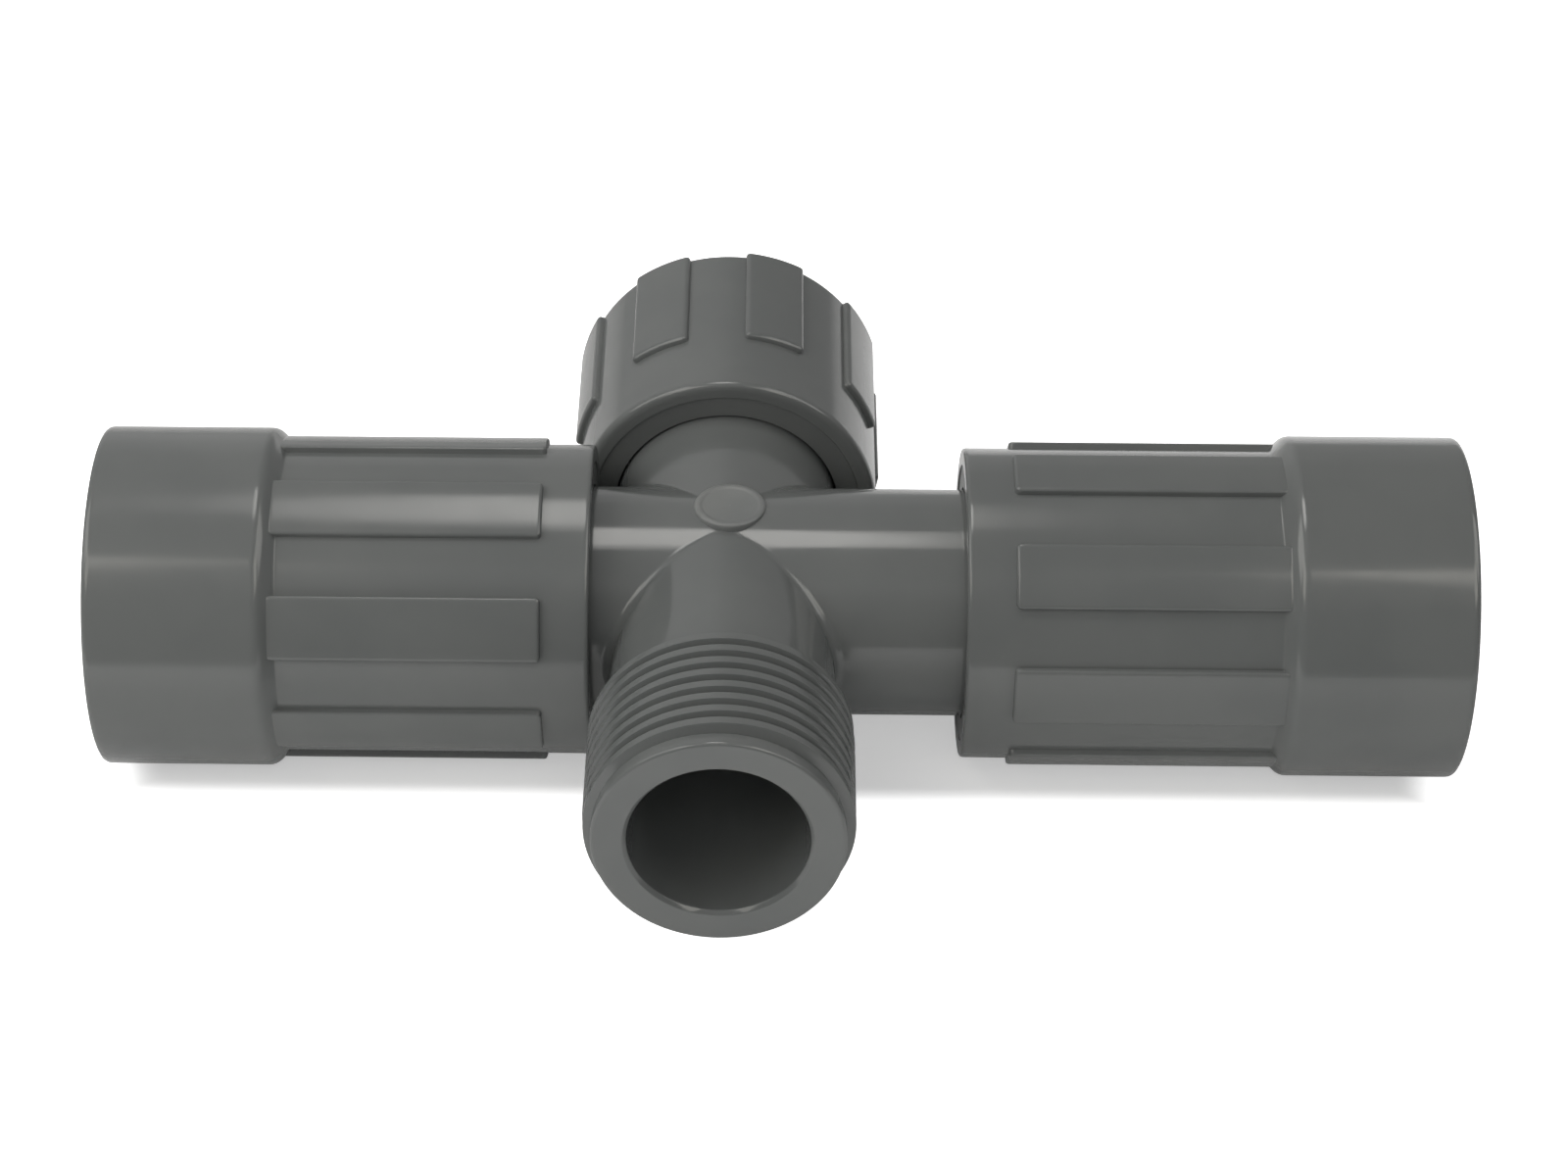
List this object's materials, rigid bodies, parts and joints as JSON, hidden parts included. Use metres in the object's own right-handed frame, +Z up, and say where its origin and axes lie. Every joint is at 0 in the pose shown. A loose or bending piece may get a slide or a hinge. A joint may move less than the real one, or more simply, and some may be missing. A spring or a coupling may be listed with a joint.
{
  "type": "irrigation cross fitting",
  "caption": "Moulded irrigation cross with a male thread, a back swivel nut and long threaded sleeves that slide and turn on sealed run tubes.",
  "frame": {"origin": "crossing point of the waterways, in the middle of the cross body", "axes": "+X along the run to the right sleeve, -Y along the male thread, +Y to the swivel nut, +Z up through the round boss"},
  "size_m": [0.1742, 0.1, 0.0438],
  "materials": {
    "grey_plastic": "satin moulded",
    "ring_plastic": "satin moulded",
    "seal_rubber": "smooth"
  },
  "bodies": {
    "cross": {"cross_body": "grey_plastic", "seal_left": "seal_rubber", "seal_right": "seal_rubber", "gasket_back": "seal_rubber"},
    "left_carrier": {"ring_left": "ring_plastic"},
    "left_sleeve": {"sleeve_left": "grey_plastic"},
    "right_carrier": {"ring_right": "ring_plastic"},
    "right_sleeve": {"sleeve_right": "grey_plastic"},
    "back_carrier": {"ring_back": "ring_plastic"},
    "back_nut": {"nut_back": "grey_plastic"}
  },
  "joints": [
    {"name": "left_slide", "type": "slide", "parent": "cross", "child": "left_carrier", "axis": [-1, 0, 0], "range_m": [0, 0.0186]},
    {"name": "left_spin", "type": "hinge", "parent": "left_carrier", "child": "left_sleeve", "pos_m": [-0.0188, 0, 0], "axis": [-1, 0, 0], "continuous": true},
    {"name": "right_slide", "type": "slide", "parent": "cross", "child": "right_carrier", "axis": [1, 0, 0], "range_m": [-0.0138, 0.0048]},
    {"name": "right_spin", "type": "hinge", "parent": "right_carrier", "child": "right_sleeve", "pos_m": [0.0326, 0, 0], "axis": [1, 0, 0], "continuous": true},
    {"name": "back_slide", "type": "slide", "parent": "cross", "child": "back_carrier", "axis": [0, 1, 0], "range_m": [0, 0.0011]},
    {"name": "back_spin", "type": "hinge", "parent": "back_carrier", "child": "back_nut", "pos_m": [0, 0.0223, 0], "axis": [0, 1, 0], "continuous": true}
  ]
}
